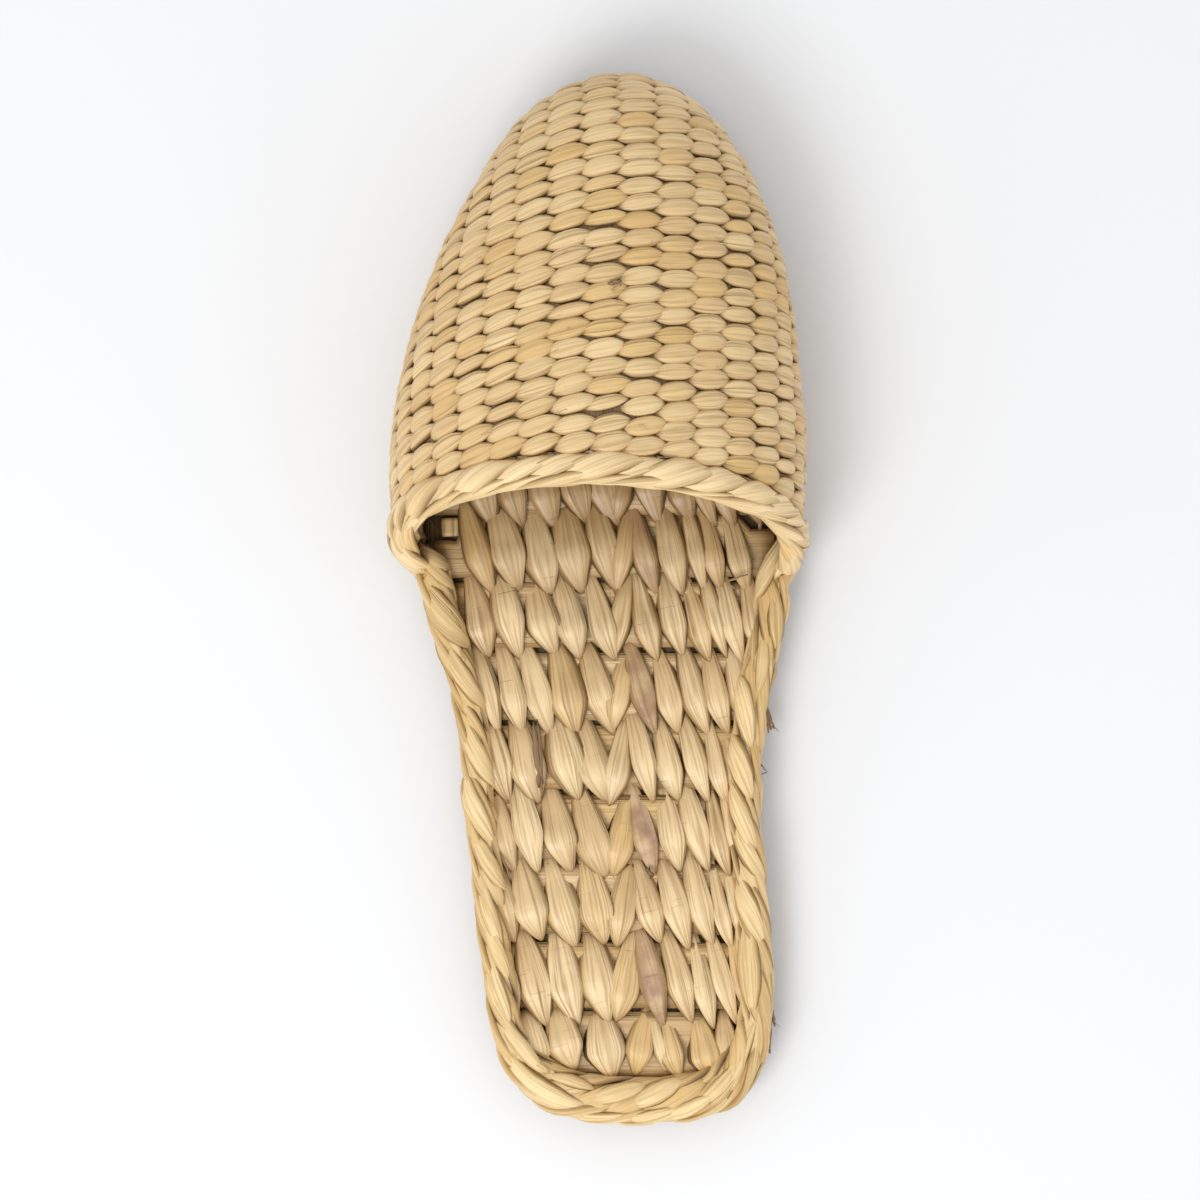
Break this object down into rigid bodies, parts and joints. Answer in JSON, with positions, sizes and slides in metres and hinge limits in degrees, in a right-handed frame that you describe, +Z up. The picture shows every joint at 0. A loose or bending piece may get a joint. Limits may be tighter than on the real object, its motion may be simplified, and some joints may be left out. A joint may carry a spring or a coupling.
{
  "type": "woven straw slipper",
  "caption": "Closed-toe slipper woven from dried reed leaf, with an open heel, a domed twined upper, a plaited throat border and a thick two-layer woven sole.",
  "frame": {"origin": "on the ground, under the middle of the shoe's box", "axes": "+Y from heel to toe, +Z up, +X to the wearer's right, which is the big-toe side of this left shoe"},
  "size_m": [0.1066, 0.27, 0.0683],
  "materials": {
    "coarse_straw": "matt, coarse plaited brown straw",
    "footbed_straw": "satin, flat ribs under raised straws",
    "plaited_straw": "satin, plaited dried leaf",
    "twined_straw": "satin, twined dried leaf"
  },
  "bodies": {
    "root": {"outsole": "coarse_straw", "footbed": "footbed_straw", "sole_binding": "plaited_straw", "upper": "twined_straw", "throat_border": "plaited_straw"}
  },
  "joints": []
}
